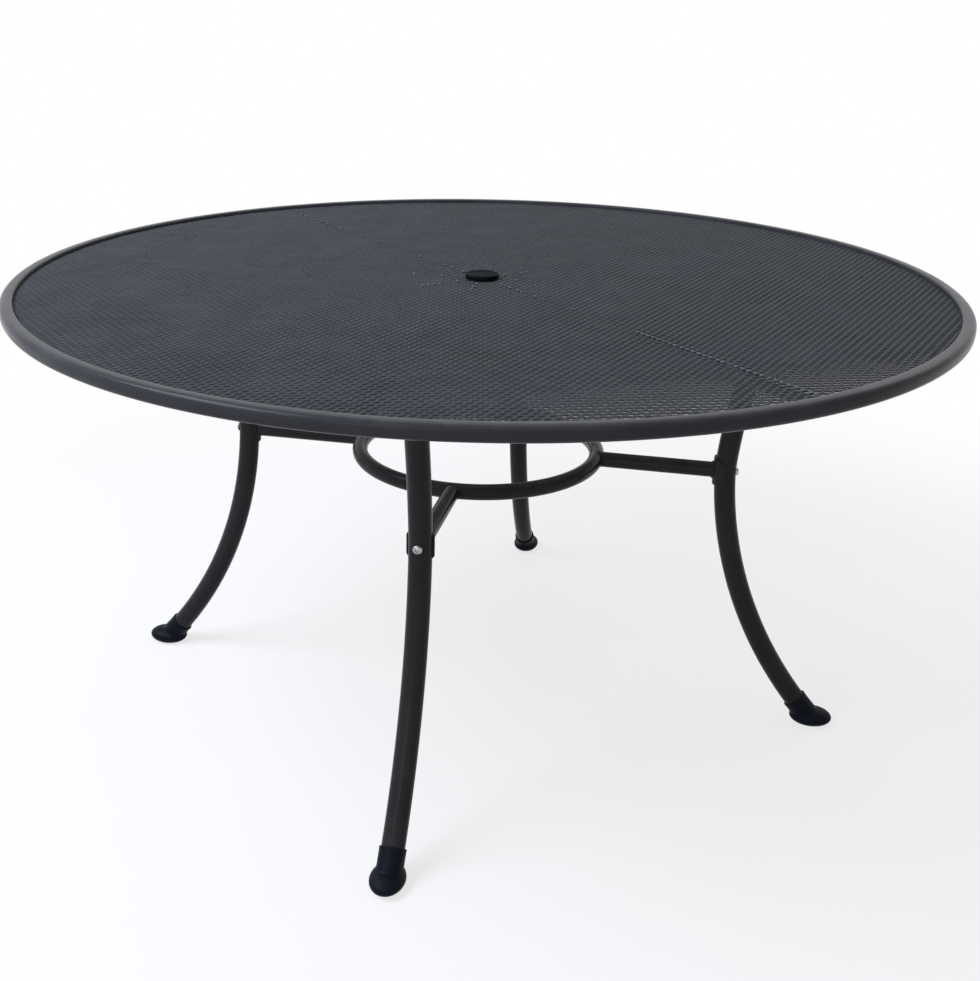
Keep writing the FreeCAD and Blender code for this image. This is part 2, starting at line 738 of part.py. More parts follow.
def check_model(nodes):
    """Stop if any object failed or any sub-part has a bad shape."""
    for item in doc.Objects:
        if "Invalid" in item.State or "Error" in item.State:
            raise RuntimeError(f"{item.Label} is {item.State}")
    for node in nodes:
        if node.Shape.isNull() or not node.Shape.isValid() or not node.Shape.Solids:
            raise RuntimeError(f"{node.Label} has no valid solid")


def write_model(nodes):
    for node in nodes:
        node.Shape.exportStep(f"parts/{node.Label}.step")
        print(node.Label, len(node.Shape.Solids), "solid(s),", round(node.Shape.Volume / 1000, 1), "cm3")


built = build_model()
doc.recompute()
check_model(built)
write_model(built)
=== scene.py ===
"""Looks of a round garden table: expanded-metal top, rim, welds, plug, boots, bolts and finishes."""

import math
import random
from collections import namedtuple

import bpy
from bpy.props import FloatProperty, FloatVectorProperty, PointerProperty
from mathutils import Matrix, Vector


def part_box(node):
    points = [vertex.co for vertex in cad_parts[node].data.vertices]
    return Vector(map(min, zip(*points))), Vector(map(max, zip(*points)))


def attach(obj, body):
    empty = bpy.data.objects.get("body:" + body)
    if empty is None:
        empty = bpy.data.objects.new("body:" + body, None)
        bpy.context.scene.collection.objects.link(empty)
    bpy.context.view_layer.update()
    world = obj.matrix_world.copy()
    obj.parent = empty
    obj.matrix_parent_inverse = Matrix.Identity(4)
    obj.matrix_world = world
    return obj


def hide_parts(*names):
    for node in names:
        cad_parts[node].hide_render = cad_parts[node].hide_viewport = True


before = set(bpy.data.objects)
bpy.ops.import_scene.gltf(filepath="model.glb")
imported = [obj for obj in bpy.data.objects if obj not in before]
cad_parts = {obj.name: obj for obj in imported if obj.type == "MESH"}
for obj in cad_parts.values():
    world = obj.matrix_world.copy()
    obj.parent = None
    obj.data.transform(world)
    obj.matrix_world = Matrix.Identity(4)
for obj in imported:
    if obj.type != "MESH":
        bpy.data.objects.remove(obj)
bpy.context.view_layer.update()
RIM_LOW, RIM_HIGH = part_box("rim_tube")

bl_info = {
    "name": "Umbrella table",
    "version": (1, 0, 0),
    "blender": (4, 5, 0),
    "location": "3D View > Sidebar > Umbrella Table",
    "description": "Makes the visible pieces and finishes of a round garden table",
    "category": "Add Mesh",
}

MM = 0.001
ROUND = 2 * math.pi
QUARTER = math.pi / 2
CLOSE = 1e-5  # metres under which two places count as one
MERGE_DISTANCE = 0.02 * MM
LEVEL = 0.9  # least upright part of the normal of a face that counts as level
SEAM_TURN = math.radians(-45)
LEG_TURNS = [math.radians(-90 + 90 * index) for index in range(4)]
BAR_TURNS = [math.radians(-90 + 45 * index) for index in range(8)]
STEEL_STARTS = (
    "top_bar", "support_ring", "umbrella_hub", "leg_ring",
    "leg_front", "leg_right", "leg_back", "leg_left", "strut", "saddles",
)


# Sizes and colours that can be changed

def length(name, description, default):
    return FloatProperty(name=name, description=description, default=default, unit="LENGTH", precision=5)


def share(name, description, default):
    return FloatProperty(
        name=name, description=description, default=default, min=0, max=1, subtype="FACTOR"
    )


def bearing(name, description, degrees):
    return FloatProperty(
        name=name, description=description, default=math.radians(degrees), subtype="ANGLE"
    )


def number(name, description, default):
    return FloatProperty(name=name, description=description, default=default)


def colour(name, description, default):
    return FloatVectorProperty(
        name=name, description=description, default=default, size=3, min=0, max=1, subtype="COLOR"
    )


class MeshTopSizes(bpy.types.PropertyGroup):
    long_pitch: length("Long pitch", "Length of one diamond opening and its strand", 22.4 * MM)
    short_pitch: length("Short pitch", "Width of one diamond opening and its strand", 11.2 * MM)
    strand_width: length("Strand width", "Width of the metal between two openings", 3.12 * MM)
    strand_thickness: length("Strand thickness", "Thickness of the sheet", 1.3 * MM)
    strand_tilt: length("Strand tilt", "Rise and fall of each strand's edges", 0.68 * MM)
    middle_height: length("Height", "Height of the middle of the sheet", 725.05 * MM)
    outer_radius: length("Outer radius", "Radius at which the sheet ends in the rim", 721.2 * MM)
    hub_radius: length("Hub radius", "Radius of the hole for the hub", 25.2 * MM)
    seam_room: length("Seam room", "Distance from the seam's middle to each sheet", 0.4 * MM)
    spot_spacing: length("Weld spot spacing", "Distance between weld spots along the seam", 11.2 * MM)
    spot_radius: length("Weld spot radius", "Radius of a weld spot", 2.1 * MM)
    spot_height: length("Weld spot height", "Height of a spot above the sheet's middle", 1.8 * MM)
    bold_from: length("Bold from", "Radius beyond which the front seam has every spot", 380 * MM)
    tack_reach: length("Tack reach", "Radius up to which the bars are tacked", 130 * MM)


class RimSizes(bpy.types.PropertyGroup):
    radius: length("Outer radius", "Radius of the table top", RIM_HIGH.x)
    top: length("Top height", "Height of the rim's top", RIM_HIGH.z)
    width: length("Width", "Width of the rim tube, seen from above", 19.5 * MM)
    depth: length("Depth", "Height of the rim tube", RIM_HIGH.z - RIM_LOW.z)
    outer_corner: length("Outer corner radius", "Rounding of the tube's outer corners", 8.16 * MM)
    inner_corner: length("Inner corner radius", "Rounding of the tube's inner corners", 3.06 * MM)


class PlugSizes(bpy.types.PropertyGroup):
    flange_radius: length("Flange radius", "Radius of the plug's flange", 26.5 * MM)
    flange_height: length("Flange height", "Height of the plug's flange", 7.5 * MM)
    seat_height: length("Seat height", "Height of the flange's underside", 726.8 * MM)
    skirt_radius: length("Skirt radius", "Outer radius of the plug's skirt", 23.2 * MM)
    skirt_length: length("Skirt length", "Length of the skirt under the flange", 20 * MM)
    wall: length("Wall", "Thickness of the moulded wall", 2.5 * MM)
    edge_rounding: length("Edge rounding", "Rounding of the flange's upper edge", 2.2 * MM)
    border: length("Border", "Width of the flat border inside the rounding", 3.2 * MM)
    step_width: length("Step width", "Width of the slope inside the border", 0.8 * MM)
    step_depth: length("Step depth", "Depth of the middle below the border", 0.7 * MM)
    lip_rounding: length("Lip rounding", "Rounding of the edges under the flange", 0.35 * MM)


class LegSizes(bpy.types.PropertyGroup):
    tube_radius: length("Leg radius", "Radius of the leg tube", 17 * MM)
    arc_x: length("Arc centre, out", "Distance of the lower bend's centre from the axis", 1066.15 * MM)
    arc_z: length("Arc centre, up", "Height of the lower bend's centre", 457.29 * MM)
    arc_radius: length("Arc radius", "Radius of the lower bend", 661.5 * MM)
    joint_radius: length("Joint radius", "Distance of the leg from the axis at the bolt", 405 * MM)
    joint_height: length("Joint height", "Height of the bolts, struts and ring", 437 * MM)
    ring_radius: length("Leg ring radius", "Radius of the ring that joins the struts", 197 * MM)
    small_tube_radius: length("Small tube radius", "Radius of the rings' and struts' tubes", 12.5 * MM)
    bar_radius: length("Bar radius", "Radius of the bars under the mesh", 8 * MM)
    bar_height: length("Bar height", "Height of the bars' middle", 715.2 * MM)
    hub_radius: length("Hub radius", "Outer radius of the hub", 25 * MM)
    bead_radius: length("Bead radius", "Radius of a weld bead", 1.7 * MM)


class BootSizes(bpy.types.PropertyGroup):
    wall: length("Wall", "Thickness of the rubber round the tube", 2.3 * MM)
    top: length("Top height", "Height of the sleeve's lip", 42 * MM)
    pad_length: length("Pad length", "Length of the foot's pad, outwards", 69 * MM)
    pad_width: length("Pad width", "Width of the foot's pad", 51 * MM)
    pad_height: length("Pad height", "Height of the egg shape that the pad is cut from", 30 * MM)
    pad_middle: length("Pad middle", "Height of the egg shape's middle", 12 * MM)
    grain: length("Remesh size", "Size of the grid that joins the boot's forms", 1.3 * MM)


class BoltSizes(bpy.types.PropertyGroup):
    head_radius: length("Head radius", "Radius of the bolt's head", 7 * MM)
    head_height: length("Head height", "Height of the bolt's head", 4.4 * MM)
    shank_radius: length("Shank radius", "Radius of the bolt's shank", 4 * MM)
    shank_length: length("Shank length", "Length of the bolt's shank", 50 * MM)
    socket_radius: length("Socket radius", "Radius of the hexagon socket's corners", 2.9 * MM)
    socket_depth: length("Socket depth", "Depth of the hexagon socket", 2.2 * MM)


class FinishColours(bpy.types.PropertyGroup):
    # The tubes' coating is the same anthracite as the mesh's, set about half as light: the coating's own
    # colour with painted shade for the tubes under the top
    steel_in_shade: colour("Steel coating", "Colour of the coated tubes", (0.0195, 0.0195, 0.0197))
    rim: colour("Rim coating", "Colour of the coated rim", (0.034, 0.035, 0.039))
    mesh: colour("Mesh coating", "Colour of the coated mesh", (0.043, 0.0455, 0.051))
    # Weld spots: the mesh's coating set nearly three times lighter, a painted highlight for the glints
    # on the spots along the seam
    weld: colour("Weld spots", "Colour of the coated weld spots", (0.115, 0.120, 0.132))
    plug: colour("Plug", "Colour of the moulded plug", (0.004, 0.005, 0.007))
    boot: colour("Boots", "Colour of the rubber boots", (0.0022, 0.0038, 0.0080))
    bolt: colour("Bolts", "Colour of the zinc on bolts and nuts", (0.36, 0.365, 0.385))
    dust: colour("Dust", "Colour of settled dust", (0.30, 0.29, 0.27))
    steel_dust: share("Dust on steel", "How much dust lies on steel that faces up", 0.05)
    moulding_dust: share("Dust on mouldings", "How much dust lies on plug and boots", 0.025)


class StageSizes(bpy.types.PropertyGroup):
    camera_place: FloatVectorProperty(
        name="Camera place", description="Where the camera stands", size=3,
        default=(0.3913, -2.0290, 1.1927), subtype="TRANSLATION",
    )
    heading: bearing("Heading", "Turn of the camera about the vertical", 13.1)
    pitch: bearing("Pitch", "How far the camera looks down", 19.6)
    roll: bearing("Roll", "Tilt of the camera about its own view", 0.64)
    lens: number("Lens", "Focal length in millimetres", 48.236)
    sensor: number("Sensor", "Width of the camera's sensor in millimetres", 36)
    shift_x: number("Shift across", "Sideways shift of the frame", 0.0601)
    shift_y: number("Shift up", "Upward shift of the frame", -0.0556)
    floor_reach: length("Floor reach", "Half the width of the floor", 40)
    clear_radius: length("Clear radius", "Distance at which the floor turns plain white", 2.2)


def sizes(group):
    return getattr(bpy.context.scene, "umbrella_table_" + group)


# Working by hand in object and edit mode

def deselect():
    if bpy.context.object and bpy.context.object.mode != "OBJECT":
        bpy.ops.object.mode_set(mode="OBJECT")
    bpy.ops.object.select_all(action="DESELECT")


def named(name):
    """Name the piece that was just made."""
    piece = bpy.context.object
    piece.name = name
    piece.data.name = name
    return piece


def edit():
    bpy.ops.object.mode_set(mode="EDIT")


def leave():
    bpy.ops.object.mode_set(mode="OBJECT")


def select_only(piece):
    deselect()
    piece.select_set(True)
    bpy.context.view_layer.objects.active = piece


def edit_whole(piece):
    """Enter edit mode with everything in the piece selected."""
    select_only(piece)
    edit()
    bpy.ops.mesh.select_all(action="SELECT")


def pick(piece, kind, chosen):
    """Select in edit mode only the vertices or faces that a test picks."""
    edit()
    bpy.ops.mesh.select_mode(type="VERT" if kind == "vertices" else "FACE")
    bpy.ops.mesh.select_all(action="DESELECT")
    leave()
    items = piece.data.vertices if kind == "vertices" else piece.data.polygons
    for item in items:
        item.select = bool(chosen(item))
    edit()


def pick_edges(piece, chosen):
    """Select in edit mode only the edges whose two ends pass a test."""
    edit()
    bpy.ops.mesh.select_mode(type="EDGE")
    bpy.ops.mesh.select_all(action="DESELECT")
    leave()
    places = piece.data.vertices
    for item in piece.data.edges:
        item.select = bool(chosen(places[item.vertices[0]].co, places[item.vertices[1]].co))
    edit()


def merge_doubles(piece):
    edit_whole(piece)
    bpy.ops.mesh.remove_doubles(threshold=MERGE_DISTANCE)
    bpy.ops.mesh.normals_make_consistent(inside=False)
    leave()


def settle(piece):
    """Put the place of a piece into its mesh, so that its object sits at the origin."""
    select_only(piece)
    bpy.ops.object.transform_apply(location=True, rotation=True, scale=True)


def smooth(piece, degrees):
    select_only(piece)
    bpy.ops.object.shade_smooth_by_angle(angle=math.radians(degrees))


def apply_modifier(piece, kind, **settings):
    select_only(piece)
    bpy.ops.object.modifier_add(type=kind)
    modifier = piece.modifiers[-1]
    for name, value in settings.items():
        setattr(modifier, name, value)
    bpy.ops.object.modifier_apply(modifier=modifier.name)


def cut_with(piece, cutter):
    """Take the cutter's shape out of a piece, and remove the cutter."""
    apply_modifier(piece, "BOOLEAN", operation="DIFFERENCE", solver="EXACT", object=cutter)
    bpy.data.objects.remove(cutter)


def join(pieces, name):
    deselect()
    for piece in pieces:
        piece.select_set(True)
    bpy.context.view_layer.objects.active = pieces[0]
    bpy.ops.object.join()
    return named(name)


def own_copy(piece, name):
    """Copy a piece with a mesh of its own."""
    copy = piece.copy()
    copy.data = piece.data.copy()
    copy.name = name
    copy.data.name = name
    bpy.context.collection.objects.link(copy)
    return copy


def repeat_round(piece, turns, name):
    """Replace a settled piece by copies of it, one at each turn about the table's axis."""
    copies = []
    for turn in turns:
        copy = own_copy(piece, name)
        copy.data.transform(Matrix.Rotation(turn, 4, "Z"))
        copies.append(copy)
    bpy.data.objects.remove(piece)
    return copies


def finish_piece(piece, body, material, replaced=()):
    piece.data.materials.clear()
    piece.data.materials.append(material)
    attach(piece, body)
    if replaced:
        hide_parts(*replaced)


# Nodes

def add_node(tree, kind, **settings):
    node = tree.nodes.new(kind)
    for name, value in settings.items():
        setattr(node, name, value)
    return node


def feed(tree, socket, value):
    """Link a socket to another one, or set it to a number."""
    if isinstance(value, bpy.types.NodeSocket):
        tree.links.new(value, socket)
    else:
        socket.default_value = value


def add_noise(tree, vector, scale, detail, roughness=0.5):
    node = add_node(tree, "ShaderNodeTexNoise")
    tree.links.new(vector, node.inputs["Vector"])
    feed(tree, node.inputs["Scale"], scale)
    node.inputs["Detail"].default_value = detail
    node.inputs["Roughness"].default_value = roughness
    return node.outputs["Fac"]


def add_math(tree, operation, first, second, clamp=False):
    node = add_node(tree, "ShaderNodeMath", operation=operation, use_clamp=clamp)
    feed(tree, node.inputs[0], first)
    feed(tree, node.inputs[1], second)
    return node.outputs[0]


def add_range(tree, value, low, high, to_low=0.0, to_high=1.0):
    """Turn the stretch from low to high into the one from to_low to to_high, with soft ends."""
    node = add_node(tree, "ShaderNodeMapRange", interpolation_type="SMOOTHSTEP")
    tree.links.new(value, node.inputs["Value"])
    node.inputs["From Min"].default_value = low
    node.inputs["From Max"].default_value = high
    node.inputs["To Min"].default_value = to_low
    node.inputs["To Max"].default_value = to_high
    return node.outputs["Result"]


def add_mix(tree, factor, first, second):
    """Mix two colours. Each is a socket or three numbers."""
    node = add_node(tree, "ShaderNodeMix", data_type="RGBA")
    first_colour, second_colour = [socket for socket in node.inputs if socket.type == "RGBA"]
    tree.links.new(factor, node.inputs["Factor"])
    for socket, value in ((first_colour, first), (second_colour, second)):
        feed(tree, socket, value if isinstance(value, bpy.types.NodeSocket) else (*value, 1.0))
    return next(socket for socket in node.outputs if socket.type == "RGBA")


def shaded(tint, factor):
    return tuple(min(1.0, part * factor) for part in tint)


def mottled(tree, shade, tint, darkest, lightest):
    """Tint that wanders between a darker and a lighter one."""
    return add_mix(tree, shade, shaded(tint, darkest), shaded(tint, lightest))


def uneven(tree, shade, middle, less, more):
    """Roughness that wanders about a middle value."""
    return add_range(tree, shade, 0.0, 1.0, middle - less, middle + more)


# Node groups that the materials share

def new_group(name, inputs, outputs):
    """Empty shader node group. Inputs are given as (name, kind, default), outputs by name."""
    group = bpy.data.node_groups.new(name, "ShaderNodeTree")
    for label, kind, default in inputs:
        socket = group.interface.new_socket(name=label, in_out="INPUT", socket_type=kind)
        if default is not None:
            socket.default_value = default
    for label in outputs:
        group.interface.new_socket(name=label, in_out="OUTPUT", socket_type="NodeSocketFloat")
    enter = group.nodes.new("NodeGroupInput").outputs
    end = group.nodes.new("NodeGroupOutput").inputs
    return group, enter, end


def make_grain_group():
    """Fine orange peel of a sprayed or moulded skin, with slow changes of shade."""
    group, enter, end = new_group(
        "skin_grain",
        [("Vector", "NodeSocketVector", None), ("Fine Scale", "NodeSocketFloat", 700.0),
         ("Slow Scale", "NodeSocketFloat", 9.0)],
        ["Height", "Shade"],
    )
    vector = enter["Vector"]
    fine = add_noise(group, vector, enter["Fine Scale"], detail=2.0)
    slow = add_noise(group, vector, enter["Slow Scale"], detail=5.0, roughness=0.6)
    middle_scale = add_math(group, "MULTIPLY", enter["Fine Scale"], 0.22)
    middle = add_noise(group, vector, middle_scale, detail=3.0)
    height = add_math(group, "ADD", fine, add_math(group, "MULTIPLY", middle, 0.8))
    group.links.new(height, end["Height"])
    group.links.new(add_range(group, slow, 0.3, 0.7), end["Shade"])
    return group


def make_dust_group():
    """Mask of dust: most on faces that point up, broken up by noise."""
    group, enter, end = new_group(
        "settled_dust",
        [("Vector", "NodeSocketVector", None), ("Amount", "NodeSocketFloat", 0.2)],
        ["Mask"],
    )
    geometry = add_node(group, "ShaderNodeNewGeometry")
    split = add_node(group, "ShaderNodeSeparateXYZ")
    group.links.new(geometry.outputs["Normal"], split.inputs["Vector"])
    upward = add_range(group, split.outputs["Z"], 0.25, 0.95)
    cloud = add_noise(group, enter["Vector"], 24.0, detail=6.0, roughness=0.65)
    dusty = add_math(group, "MULTIPLY", upward, add_range(group, cloud, 0.35, 0.75))
    group.links.new(add_math(group, "MULTIPLY", dusty, enter["Amount"], clamp=True), end["Mask"])
    return group


def make_wear_group():
    """Mask of small rubbed places, from two noises of different size."""
    group, enter, end = new_group(
        "rubbed_places",
        [("Vector", "NodeSocketVector", None), ("Scale", "NodeSocketFloat", 60.0),
         ("Amount", "NodeSocketFloat", 0.3)],
        ["Mask"],
    )
    small = add_noise(group, enter["Vector"], enter["Scale"], detail=8.0, roughness=0.7)
    large = add_noise(group, enter["Vector"], 5.0, detail=2.0)
    spots = add_range(group, small, 0.60, 0.68)
    areas = add_range(group, large, 0.45, 0.65)
    both = add_math(group, "MULTIPLY", spots, areas)
    group.links.new(add_math(group, "MULTIPLY", both, enter["Amount"], clamp=True), end["Mask"])
    return group


GROUP_MAKERS = {
    "skin_grain": make_grain_group,
    "settled_dust": make_dust_group,
    "rubbed_places": make_wear_group,
}


def add_group(tree, name, vector, **values):
    """Place a shared group, made when it is first needed, with its own values."""
    node = add_node(tree, "ShaderNodeGroup")
    node.node_tree = bpy.data.node_groups.get(name) or GROUP_MAKERS[name]()
    tree.links.new(vector, node.inputs["Vector"])
    for label, value in values.items():
        node.inputs[label.replace("_", " ").title()].default_value = value
    return node.outputs


# Materials

def start_material(name):
    material = bpy.data.materials.new(name)
    material.use_nodes = True
    tree = material.node_tree
    shader = tree.nodes["Principled BSDF"].inputs
    vector = add_node(tree, "ShaderNodeTexCoord").outputs["Object"]
    return material, tree, shader, vector


def add_bump(tree, shader, height, strength, distance):
    bump = add_node(tree, "ShaderNodeBump")
    bump.inputs["Strength"].default_value = strength
    bump.inputs["Distance"].default_value = distance
    tree.links.new(height, bump.inputs["Height"])
    tree.links.new(bump.outputs["Normal"], shader["Normal"])


def coated_steel(name, tint, roughness, specular, peel):
    """Sprayed powder coating: satin, with orange peel, slow mottling, rubbed places and dust."""
    colours = sizes("colours")
    material, tree, shader, vector = start_material(name)
    grain = add_group(tree, "skin_grain", vector, fine_scale=620.0, slow_scale=8.0)
    settled = add_group(tree, "settled_dust", vector, amount=colours.steel_dust)["Mask"]
    rubbed = add_group(tree, "rubbed_places", vector, scale=90.0, amount=0.25)["Mask"]
    coat = mottled(tree, grain["Shade"], tint, darkest=0.86, lightest=1.14)
    coat = add_mix(tree, rubbed, coat, shaded(tint, 1.5))
    coat = add_mix(tree, settled, coat, colours.dust)
    tree.links.new(coat, shader["Base Color"])
    satin = uneven(tree, grain["Shade"], roughness, less=0.05, more=0.06)
    dusty_matt = add_math(tree, "MULTIPLY", settled, 0.5)
    tree.links.new(add_math(tree, "ADD", satin, dusty_matt, clamp=True), shader["Roughness"])
    shader["Specular IOR Level"].default_value = specular
    add_bump(tree, shader, grain["Height"], strength=peel, distance=0.15 * MM)
    return material


def moulded_plastic(name, tint, roughness, specular):
    """Dark moulded plastic or rubber with a fine matt grain and rubbed, greyer places."""
    colours = sizes("colours")
    material, tree, shader, vector = start_material(name)
    grain = add_group(tree, "skin_grain", vector, fine_scale=1500.0, slow_scale=40.0)
    rubbed = add_group(tree, "rubbed_places", vector, scale=160.0, amount=0.5)["Mask"]
    settled = add_group(tree, "settled_dust", vector, amount=colours.moulding_dust)["Mask"]
    skin = mottled(tree, grain["Shade"], tint, darkest=0.8, lightest=1.25)
    skin = add_mix(tree, rubbed, skin, shaded(tint, 3.0))
    skin = add_mix(tree, settled, skin, colours.dust)
    tree.links.new(skin, shader["Base Color"])
    tree.links.new(uneven(tree, grain["Shade"], roughness, less=0.06, more=0.08), shader["Roughness"])
    shader["Specular IOR Level"].default_value = specular
    add_bump(tree, shader, grain["Height"], strength=0.35, distance=0.08 * MM)
    return material


def bright_zinc(name, tint):
    """Zinc plating: bright grey metal with fine rubbing and duller patches."""
    material, tree, shader, vector = start_material(name)
    grain = add_group(tree, "skin_grain", vector, fine_scale=2600.0, slow_scale=180.0)
    rubbed = add_group(tree, "rubbed_places", vector, scale=420.0, amount=0.6)["Mask"]
    metal = mottled(tree, grain["Shade"], tint, darkest=0.82, lightest=1.1)
    metal = add_mix(tree, rubbed, metal, shaded(tint, 0.55))
    tree.links.new(metal, shader["Base Color"])
    tree.links.new(uneven(tree, grain["Shade"], 0.34, less=0.08, more=0.08), shader["Roughness"])
    shader["Metallic"].default_value = 1.0
    add_bump(tree, shader, grain["Height"], strength=0.2, distance=0.04 * MM)
    return material


# Coating of the tubes and their beads: the real anthracite made darker with painted shade
def shaded_steel_finish():
    made = bpy.data.materials.get("anthracite_shaded_coating")
    return made or coated_steel(
        "anthracite_shaded_coating", sizes("colours").steel_in_shade, roughness=0.23, specular=0.075, peel=0.25
    )


def zinc_finish():
    return bpy.data.materials.get("zinc_plating") or bright_zinc("zinc_plating", sizes("colours").bolt)


# Expanded-metal top

TRIM_CHORDS = 64  # straight cuts that would go once round the sheet's edge
SPARE_CELLS = 3  # rows and columns more than the half disc needs


def make_cell(top, lean):
    """Two neighbouring diamonds of strand, long way along Y, twisted so that one edge stands up."""
    deselect()
    bpy.ops.mesh.primitive_circle_add(vertices=4, radius=1, fill_type="NGON")
    cell = named("mesh_cell")
    half_strand = top.strand_width / 2
    edit()
    bpy.ops.transform.resize(value=(top.long_pitch / 2, top.short_pitch / 2, 1))
    bpy.ops.mesh.select_mode(type="FACE")
    bpy.ops.mesh.select_all(action="SELECT")
    bpy.ops.mesh.inset(thickness=half_strand, use_even_offset=True)
    bpy.ops.mesh.delete(type="FACE")
    leave()
    outside = top.short_pitch / 2 - half_strand / 2
    for side in (1, -1):
        pick(cell, "vertices", lambda v: abs(v.co.x) < half_strand and 0 < side * v.co.y < outside)
        bpy.ops.transform.translate(value=(0, 0, lean * side * top.strand_tilt))
        leave()
    edit_whole(cell)
    bpy.ops.mesh.duplicate()
    bpy.ops.transform.translate(value=(top.long_pitch / 2, top.short_pitch / 2, 0))
    leave()
    cell.rotation_euler.z = QUARTER
    settle(cell)
    return cell


def spread_cells(cell, step_x, step_y, reach):
    """Repeat the pair of cells over half of the top, on +Y of the seam."""
    columns = math.ceil(2 * reach / step_x) + SPARE_CELLS
    rows = math.ceil(reach / step_y) + SPARE_CELLS
    for step, count in (((step_x, 0, 0), columns), ((0, step_y, 0), rows)):
        apply_modifier(
            cell, "ARRAY", count=count, use_relative_offset=False, use_constant_offset=True,
            constant_offset_displace=step,
        )
    cell.location = (-columns // 2 * step_x, -SPARE_CELLS / 2 * step_y, 0)
    settle(cell)
    merge_doubles(cell)


def cut_away(place, outwards):
    """Bisect the whole piece that is being edited, and clear what lies outside the plane."""
    bpy.ops.mesh.select_all(action="SELECT")
    bpy.ops.mesh.bisect(plane_co=place, plane_no=outwards, clear_outer=True)


def trim_to_half_disc(piece, radius, seam_room):
    select_only(piece)
    edit()
    bpy.ops.mesh.select_mode(type="VERT")
    cut_away((0, seam_room, 0), (0, -1, 0))
    for index in range(TRIM_CHORDS // 2 + 1):
        turn = ROUND * index / TRIM_CHORDS
        outwards = Vector((math.cos(turn), math.sin(turn), 0))
        cut_away(outwards * radius, outwards)
    leave()


def open_hub_hole(piece, radius):
    """Clear the faces inside the hub and push what crosses its edge out to it."""
    places = piece.data.vertices
    pick(piece, "faces", lambda face: all(places[i].co.xy.length < radius for i in face.vertices))
    bpy.ops.mesh.delete(type="FACE")
    leave()
    for vertex in piece.data.vertices:
        reach = vertex.co.xy.length
        if reach < radius:
            vertex.co.x *= radius / max(reach, CLOSE)
            vertex.co.y *= radius / max(reach, CLOSE)


def make_sheet(name, front_side):
    """Half of the top. It is made on +Y of a seam along X, then turned into place."""
    top = sizes("mesh")
    sheet = make_cell(top, 1 if front_side else -1)
    spread_cells(sheet, top.short_pitch, top.long_pitch, top.outer_radius)
    trim_to_half_disc(sheet, top.outer_radius, top.seam_room)
    open_hub_hole(sheet, top.hub_radius)
    apply_modifier(sheet, "SOLIDIFY", thickness=top.strand_thickness, offset=0.0)
    sheet.rotation_euler.z = SEAM_TURN + (math.pi if front_side else 0)
    sheet.location.z = top.middle_height
    settle(sheet)
    return named(name)


class TABLE_OT_mesh_top(bpy.types.Operator):
    """Makes both expanded-metal sheets of the table top"""
    bl_idname = "umbrella_table.mesh_top"
    bl_label = "Expanded-metal top"

    def execute(self, context):
        tint = sizes("colours").mesh
        coating = coated_steel("mesh_coating", tint, roughness=0.48, specular=0.035, peel=0.3)
        front = make_sheet("mesh_sheet_front_left", True)
        finish_piece(front, "table", coating, ["mesh_front_left"])
        back = make_sheet("mesh_sheet_back_right", False)
        finish_piece(back, "table", coating, ["mesh_back_right"])
        return {"FINISHED"}


# Weld spots on the top

SPOT_SEED = 7
FIRST_SPOT_FROM_HUB = 8 * MM
LAST_SPOT_FROM_EDGE = 4 * MM
SPOT_DRIFT_ALONG = 0.15  # of the spacing
SPOT_DRIFT_ACROSS = 0.4  # millimetres
TACK_CHANCE = 0.3
FAINT_CHANCE = 0.1
SPOT_HALF_THICKNESS = 1.3 * MM


def spot_chance(top, in_front, along):
    """Share of the spots that show: all far out on the front seam, some at the hub, else few."""
    if in_front and along > top.bold_from:
        return 1.0
    return TACK_CHANCE if along < top.tack_reach else FAINT_CHANCE


def spot_places(top, dice):
    """Places of the weld spots: along the seam, and where the bars are tacked near the hub."""
    places = []
    first = top.hub_radius + FIRST_SPOT_FROM_HUB
    for turn in [SEAM_TURN, SEAM_TURN + math.pi] + BAR_TURNS:
        on_seam = abs(math.sin(turn - SEAM_TURN)) < CLOSE
        in_front = on_seam and math.cos(turn) > 0
        last = top.outer_radius - LAST_SPOT_FROM_EDGE if on_seam else top.tack_reach
        for index in range(int((last - first) / top.spot_spacing)):
            drift = dice.uniform(-SPOT_DRIFT_ALONG, SPOT_DRIFT_ALONG)
            along = first + top.spot_spacing * (index + drift)
            across = dice.uniform(-SPOT_DRIFT_ACROSS, SPOT_DRIFT_ACROSS) * MM
            if dice.random() < spot_chance(top, in_front, along):
                places.append(Matrix.Rotation(turn, 3, "Z") @ Vector((along, across, 0)))
    return places


def place_spot(spot, place, top, dice):
    """Copy the spot to a place on the mesh, a little larger or smaller than the others."""
    size = top.spot_radius * dice.uniform(0.75, 1.25)
    stretch = dice.uniform(0.9, 1.15)
    thickness = dice.uniform(0.9, 1.2)
    copy = own_copy(spot, "weld_spot_copy")
    copy.scale = (size * stretch, size, SPOT_HALF_THICKNESS * thickness)
    copy.rotation_euler.z = math.atan2(place.y, place.x)
    copy.location = (place.x, place.y, top.middle_height + top.spot_height)
    return copy


class TABLE_OT_seam_welds(bpy.types.Operator):
    """Makes the weld spots that join the two sheets along their seam and tack them to the bars"""
    bl_idname = "umbrella_table.seam_welds"
    bl_label = "Weld spots"

    def execute(self, context):
        top = sizes("mesh")
        dice = random.Random(SPOT_SEED)
        deselect()
        bpy.ops.mesh.primitive_uv_sphere_add(segments=10, ring_count=6, radius=1)
        spot = named("weld_spot")
        spots = [place_spot(spot, place, top, dice) for place in spot_places(top, dice)]
        bpy.data.objects.remove(spot)
        welds = join(spots, "seam_weld_spots")
        settle(welds)
        smooth(welds, 60)
        # The spots' colour is the mesh's coating made lighter: a painted highlight that stands for their
        # glints
        tint = sizes("colours").weld
        coating = coated_steel("weld_spot_highlight_coating", tint, roughness=0.5, specular=0.08, peel=0.2)
        finish_piece(welds, "table", coating)
        return {"FINISHED"}


# Rim

